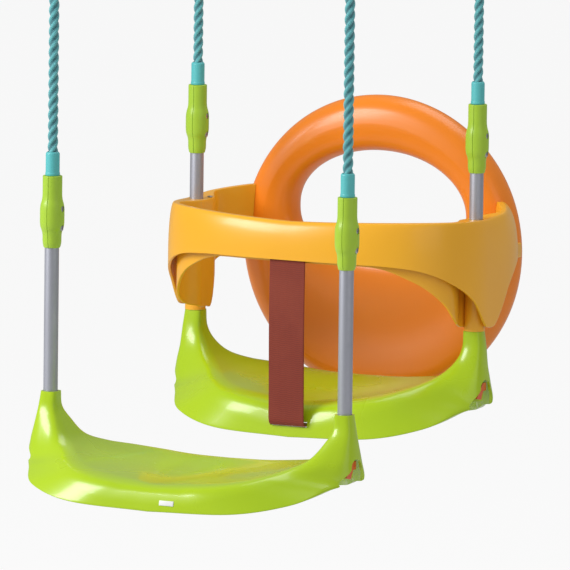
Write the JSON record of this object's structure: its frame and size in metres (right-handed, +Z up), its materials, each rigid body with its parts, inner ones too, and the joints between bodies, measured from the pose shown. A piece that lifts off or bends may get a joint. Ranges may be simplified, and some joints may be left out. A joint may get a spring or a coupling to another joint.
{
  "type": "baby swing set",
  "caption": "Hanging moulded swing with guard band, round back and crotch strap, beside the plain seat swing, each on two tubes with grips, ropes and beam hangers.",
  "frame": {"origin": "on the beam's underside, midway between the two hanger plates of the baby swing", "axes": "+X to the right seen from the front, -Y to the front (the way a child faces), +Z up"},
  "size_m": [0.672, 1.1425, 0.8359],
  "materials": {
    "seat": "glossy moulded lime green",
    "grip": "satin moulded green",
    "guard": "satin moulded yellow orange",
    "back": "satin blow-moulded orange",
    "sleeve": "soft matt turquoise",
    "rope": "twisted polypropylene",
    "steel": "grey powder-like satin steel",
    "zinc": "bright zinc plate",
    "strap": "woven webbing, rust brown",
    "lock": "matt orange red"
  },
  "bodies": {
    "beam_hangers": {"baby_hanger_left": "zinc", "baby_hanger_right": "zinc", "plain_hanger_left": "zinc", "plain_hanger_right": "zinc"},
    "baby_swing": {"baby_grip_head_half_left": "grip", "baby_grip_head_half_right": "grip", "baby_grip_nut_half_left": "grip", "baby_grip_nut_half_right": "grip", "baby_grip_screw_left_high": "zinc", "baby_grip_screw_left_low": "zinc", "baby_grip_screw_right_high": "zinc", "baby_grip_screw_right_low": "zinc", "baby_ring_left": "zinc", "baby_ring_right": "zinc", "baby_rope_clamp_left": "zinc", "baby_rope_clamp_right": "zinc", "baby_rope_left": "rope", "baby_rope_right": "rope", "baby_rope_sleeve_left": "sleeve", "baby_rope_sleeve_right": "sleeve", "baby_seat": "seat", "baby_strap": "strap", "baby_thimble_left": "zinc", "baby_thimble_right": "zinc", "baby_tube_left": "steel", "baby_tube_lock_left": "lock", "baby_tube_lock_right": "lock", "baby_tube_right": "steel"},
    "guard_and_back": {"baby_guard": "guard", "baby_back": "back", "baby_back_screw_left": "zinc", "baby_back_screw_right": "zinc", "baby_guard_screw_left": "zinc", "baby_guard_screw_right": "zinc"},
    "plain_swing": {"plain_grip_head_half_left": "grip", "plain_grip_head_half_right": "grip", "plain_grip_nut_half_left": "grip", "plain_grip_nut_half_right": "grip", "plain_grip_screw_left_high": "zinc", "plain_grip_screw_left_low": "zinc", "plain_grip_screw_right_high": "zinc", "plain_grip_screw_right_low": "zinc", "plain_ring_left": "zinc", "plain_ring_right": "zinc", "plain_rope_clamp_left": "zinc", "plain_rope_clamp_right": "zinc", "plain_rope_left": "rope", "plain_rope_right": "rope", "plain_rope_sleeve_left": "sleeve", "plain_rope_sleeve_right": "sleeve", "plain_seat": "seat", "plain_thimble_left": "zinc", "plain_thimble_right": "zinc", "plain_tube_left": "steel", "plain_tube_lock_left": "lock", "plain_tube_lock_right": "lock", "plain_tube_right": "steel"}
  },
  "joints": [
    {"name": "baby_swing_hinge", "type": "hinge", "parent": "beam_hangers", "child": "baby_swing", "pos_m": [0, 0, -0.04], "axis": [1, 0, 0], "range_deg": [-20, 20]},
    {"name": "plain_swing_hinge", "type": "hinge", "parent": "beam_hangers", "child": "plain_swing", "pos_m": [0.222, -0.85, -0.04], "axis": [1, 0, 0], "range_deg": [-20, 20]},
    {"name": "guard_lift", "type": "slide", "parent": "baby_swing", "child": "guard_and_back", "axis": [0, 0, 1], "range_m": [0, 0.05]}
  ]
}
